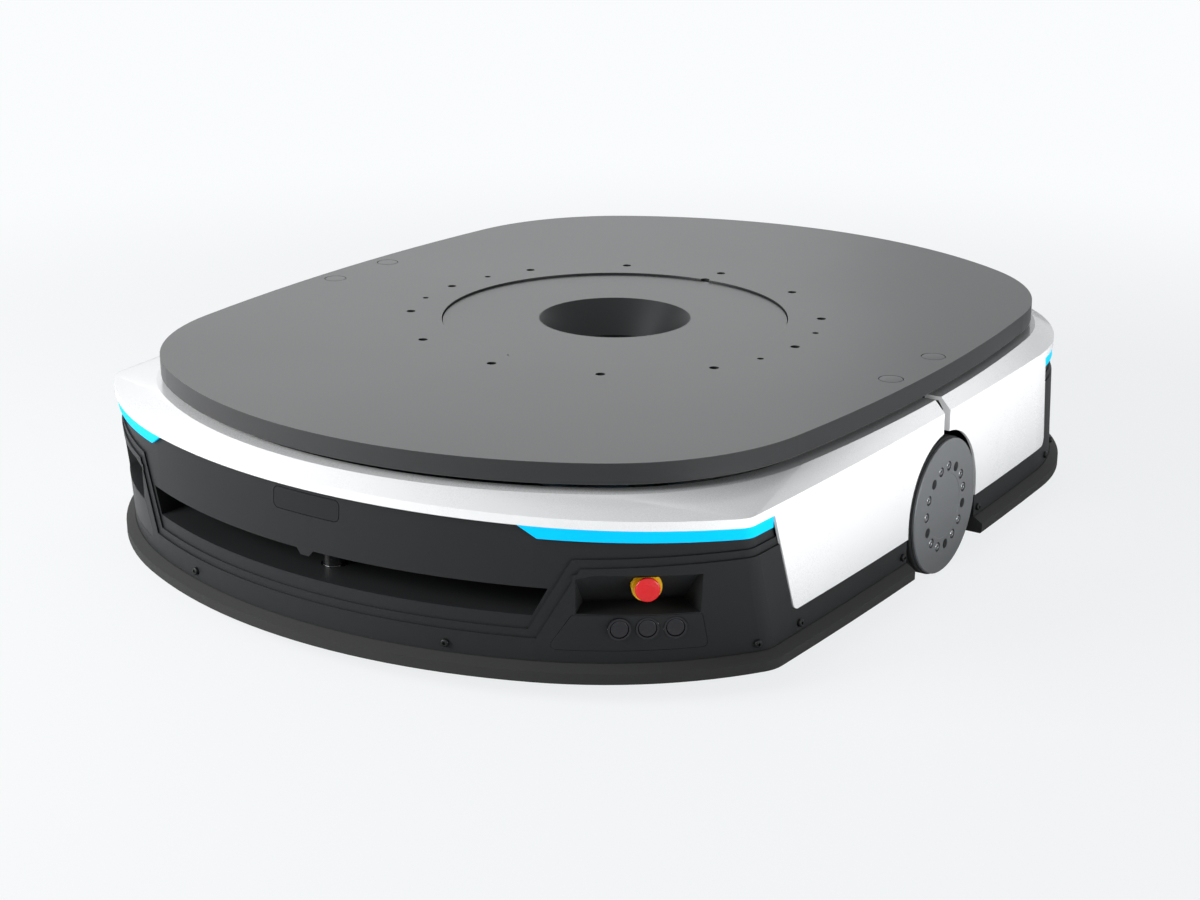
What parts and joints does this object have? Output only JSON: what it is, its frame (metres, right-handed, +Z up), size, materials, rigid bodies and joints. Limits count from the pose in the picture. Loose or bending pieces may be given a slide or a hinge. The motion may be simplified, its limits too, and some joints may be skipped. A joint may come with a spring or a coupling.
{
  "type": "autonomous mobile robot",
  "caption": "Low autonomous mobile robot with a lifting, turning deck, a split chassis, two drive wheels, swivel casters, laser scanners and a corner control panel.",
  "frame": {"origin": "on the floor under the centre of the deck, midway between the drive wheels", "axes": "-Y forward, towards the front scanner; +X towards the robot's side that carries the stop button; +Z up, along the deck's turning axis"},
  "size_m": [1.0692, 1.3924, 0.275],
  "materials": {
    "deck": "satin powder coat, near black",
    "battery_case": "satin black",
    "frame_paint": "satin black",
    "white_cover": "glossy white",
    "black_cover": "satin black",
    "bumper_rubber": "matt black",
    "light": "translucent cyan diffuser",
    "steel": "ground",
    "dark_steel": "blackened",
    "aluminium": "machined",
    "wheel_grey": "satin grey",
    "tyre": "matt",
    "stop_red": "glossy red",
    "stop_yellow": "glossy yellow",
    "button_black": "satin black",
    "window": "dark tinted",
    "copper": "bright contact metal"
  },
  "bodies": {
    "chassis": {"front_frame": "frame_paint", "front_fascia": "black_cover", "front_shell": "white_cover", "front_bumper": "bumper_rubber", "front_light_strips": "light", "front_fascia_screws": "dark_steel", "front_caster_plates": "steel", "control_panel": "black_cover", "blank_panel": "black_cover", "estop_collar": "stop_yellow", "switch_blocks": "button_black", "button_bezels": "button_black", "camera_window": "window", "front_scanner": "window", "battery_pack": "battery_case", "drive_motors": "dark_steel", "gearboxes": "aluminium", "lift_base": "steel", "jack_tubes": "aluminium"},
    "lift": {"carriage_plate": "steel", "jack_rods": "steel", "inner_race": "steel", "centre_disc": "deck", "camera_funnel": "dark_steel", "upward_camera": "button_black", "slewing_motor": "dark_steel"},
    "deck": {"deck_plate": "deck", "deck_plugs": "deck", "outer_race": "steel", "ring_bolts": "dark_steel"},
    "pinion": {"slewing_pinion": "steel"},
    "left_drive_wheel": {"left_wheel_hub": "wheel_grey", "left_tyre": "tyre", "left_wheel_screws": "steel"},
    "right_drive_wheel": {"right_wheel_hub": "wheel_grey", "right_tyre": "tyre", "right_wheel_screws": "steel"},
    "rear_chassis": {"rear_frame": "frame_paint", "rear_fascia": "black_cover", "rear_shell": "white_cover", "rear_bumper": "bumper_rubber", "rear_light_strips": "light", "rear_fascia_screws": "dark_steel", "rear_caster_plates": "steel", "rear_scanner": "window", "controller_box": "aluminium", "charging_contacts": "copper", "pivot_bushes": "copper"},
    "stop_button": {"estop_head": "stop_red"},
    "left_push_button": {"left_button": "button_black"},
    "middle_push_button": {"middle_button": "button_black"},
    "right_push_button": {"right_button": "button_black"},
    "front_left_caster": {"front_left_caster_fork": "steel"},
    "front_left_caster_roller": {"front_left_caster_wheel": "tyre"},
    "front_right_caster": {"front_right_caster_fork": "steel"},
    "front_right_caster_roller": {"front_right_caster_wheel": "tyre"},
    "rear_left_caster": {"rear_left_caster_fork": "steel"},
    "rear_left_caster_roller": {"rear_left_caster_wheel": "tyre"},
    "rear_right_caster": {"rear_right_caster_fork": "steel"},
    "rear_right_caster_roller": {"rear_right_caster_wheel": "tyre"}
  },
  "joints": [
    {"name": "lift_slide", "type": "slide", "parent": "chassis", "child": "lift", "axis": [0, 0, 1], "range_m": [0, 0.06]},
    {"name": "deck_turn", "type": "hinge", "parent": "lift", "child": "deck", "pos_m": [0, 0, 0.26], "axis": [0, 0, 1], "continuous": true},
    {"name": "pinion_turn", "type": "hinge", "parent": "lift", "child": "pinion", "pos_m": [-0.26163, -0.26163, 0.234], "axis": [0, 0, 1], "continuous": true},
    {"name": "left_wheel_turn", "type": "hinge", "parent": "chassis", "child": "left_drive_wheel", "pos_m": [-0.5, 0, 0.0935], "axis": [1, 0, 0], "continuous": true},
    {"name": "right_wheel_turn", "type": "hinge", "parent": "chassis", "child": "right_drive_wheel", "pos_m": [0.5, 0, 0.0935], "axis": [1, 0, 0], "continuous": true},
    {"name": "rear_chassis_pivot", "type": "hinge", "parent": "chassis", "child": "rear_chassis", "pos_m": [0, 0, 0.0935], "axis": [1, 0, 0], "range_deg": [-0.7, 0.7]},
    {"name": "front_left_caster_swivel", "type": "hinge", "parent": "chassis", "child": "front_left_caster", "pos_m": [-0.3, -0.44, 0.1], "axis": [0, 0, 1], "continuous": true},
    {"name": "front_left_caster_roll", "type": "hinge", "parent": "front_left_caster", "child": "front_left_caster_roller", "pos_m": [-0.3, -0.41, 0.038], "axis": [1, 0, 0], "continuous": true},
    {"name": "front_right_caster_swivel", "type": "hinge", "parent": "chassis", "child": "front_right_caster", "pos_m": [0.3, -0.44, 0.1], "axis": [0, 0, 1], "continuous": true},
    {"name": "front_right_caster_roll", "type": "hinge", "parent": "front_right_caster", "child": "front_right_caster_roller", "pos_m": [0.3, -0.41, 0.038], "axis": [1, 0, 0], "continuous": true},
    {"name": "rear_left_caster_swivel", "type": "hinge", "parent": "rear_chassis", "child": "rear_left_caster", "pos_m": [-0.3, 0.44, 0.1], "axis": [0, 0, 1], "continuous": true},
    {"name": "rear_left_caster_roll", "type": "hinge", "parent": "rear_left_caster", "child": "rear_left_caster_roller", "pos_m": [-0.3, 0.47, 0.038], "axis": [1, 0, 0], "continuous": true},
    {"name": "rear_right_caster_swivel", "type": "hinge", "parent": "rear_chassis", "child": "rear_right_caster", "pos_m": [0.3, 0.44, 0.1], "axis": [0, 0, 1], "continuous": true},
    {"name": "rear_right_caster_roll", "type": "hinge", "parent": "rear_right_caster", "child": "rear_right_caster_roller", "pos_m": [0.3, 0.47, 0.038], "axis": [1, 0, 0], "continuous": true},
    {"name": "stop_press", "type": "slide", "parent": "chassis", "child": "stop_button", "axis": [-0.6428, 0.766, 0], "range_m": [0, 0.005]},
    {"name": "left_button_press", "type": "slide", "parent": "chassis", "child": "left_push_button", "axis": [-0.6428, 0.766, 0], "range_m": [0, 0.0025], "stiffness_N_per_m": 1200, "springref_m": -0.0005},
    {"name": "middle_button_press", "type": "slide", "parent": "chassis", "child": "middle_push_button", "axis": [-0.6428, 0.766, 0], "range_m": [0, 0.0025], "stiffness_N_per_m": 1200, "springref_m": -0.0005},
    {"name": "right_button_press", "type": "slide", "parent": "chassis", "child": "right_push_button", "axis": [-0.6428, 0.766, 0], "range_m": [0, 0.0025], "stiffness_N_per_m": 1200, "springref_m": -0.0005}
  ],
  "couplings": [
    {"joint": "pinion_turn", "follows": "deck_turn", "ratio": -6.4}
  ]
}
